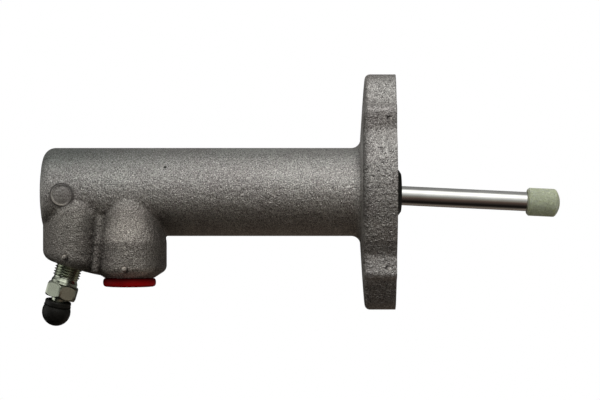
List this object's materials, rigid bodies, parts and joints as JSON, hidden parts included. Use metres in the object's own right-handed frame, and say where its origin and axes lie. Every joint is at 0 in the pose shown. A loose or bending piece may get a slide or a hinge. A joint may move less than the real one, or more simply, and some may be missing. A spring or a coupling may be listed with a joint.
{
  "type": "clutch slave cylinder",
  "caption": "Cast clutch slave cylinder with a two-bolt flange, a sprung piston, a swinging push rod with a nylon tip, an angled bleed screw with a rubber cap and a plugged inlet port.",
  "frame": {"origin": "where the bore's axis crosses the flange's mounting face", "axes": "+X along the bore, out of its mouth towards the push rod; +Z square to it, along the line of the two bolt holes and away from the ports"},
  "size_m": [0.1945, 0.0464, 0.0941],
  "materials": {
    "cast_body": "satin",
    "bright_steel": "polished",
    "zinc_steel": "satin",
    "spring_steel": "satin",
    "piston_alloy": "satin",
    "nylon": "matte",
    "seal_plastic": "matte",
    "red_plastic": "gloss",
    "black_rubber": "matte"
  },
  "bodies": {
    "housing": {"cylinder_body": "cast_body", "dust_boot": "black_rubber", "stop_washer": "zinc_steel", "retaining_ring": "spring_steel", "piston_spring": "spring_steel"},
    "piston_group": {"piston": "piston_alloy", "guide_ring": "seal_plastic", "rear_seal": "black_rubber", "primary_cup": "black_rubber", "spring_seat": "zinc_steel", "rod_clip": "spring_steel"},
    "rod_group": {"push_rod": "bright_steel", "rod_tip": "nylon"},
    "screw": {"bleed_screw": "zinc_steel"},
    "cap": {"bleed_cap": "black_rubber"},
    "plug": {"port_plug": "red_plastic"}
  },
  "joints": [
    {"name": "piston_slide", "type": "slide", "parent": "housing", "child": "piston_group", "axis": [1, 0, 0], "range_m": [-0.025, 0], "stiffness_N_per_m": 500, "springref_m": 0.04, "deforming": ["piston_spring"]},
    {"name": "rod_swing", "type": "hinge", "parent": "piston_group", "child": "rod_group", "pos_m": [-0.026, 0, 0], "axis": [0, -1, 0], "range_deg": [0, 5.48]},
    {"name": "bleed_turn", "type": "hinge", "parent": "housing", "child": "screw", "pos_m": [-0.1217, -0.0042, -0.0275], "axis": [-0.2849, 0, -0.9586], "range_deg": [0, 360]},
    {"name": "cap_pull", "type": "slide", "parent": "screw", "child": "cap", "axis": [-0.2849, 0, -0.9586], "range_m": [0, 0.02]},
    {"name": "plug_pull", "type": "slide", "parent": "housing", "child": "plug", "axis": [0, 0, -1], "range_m": [0, 0.02]}
  ]
}
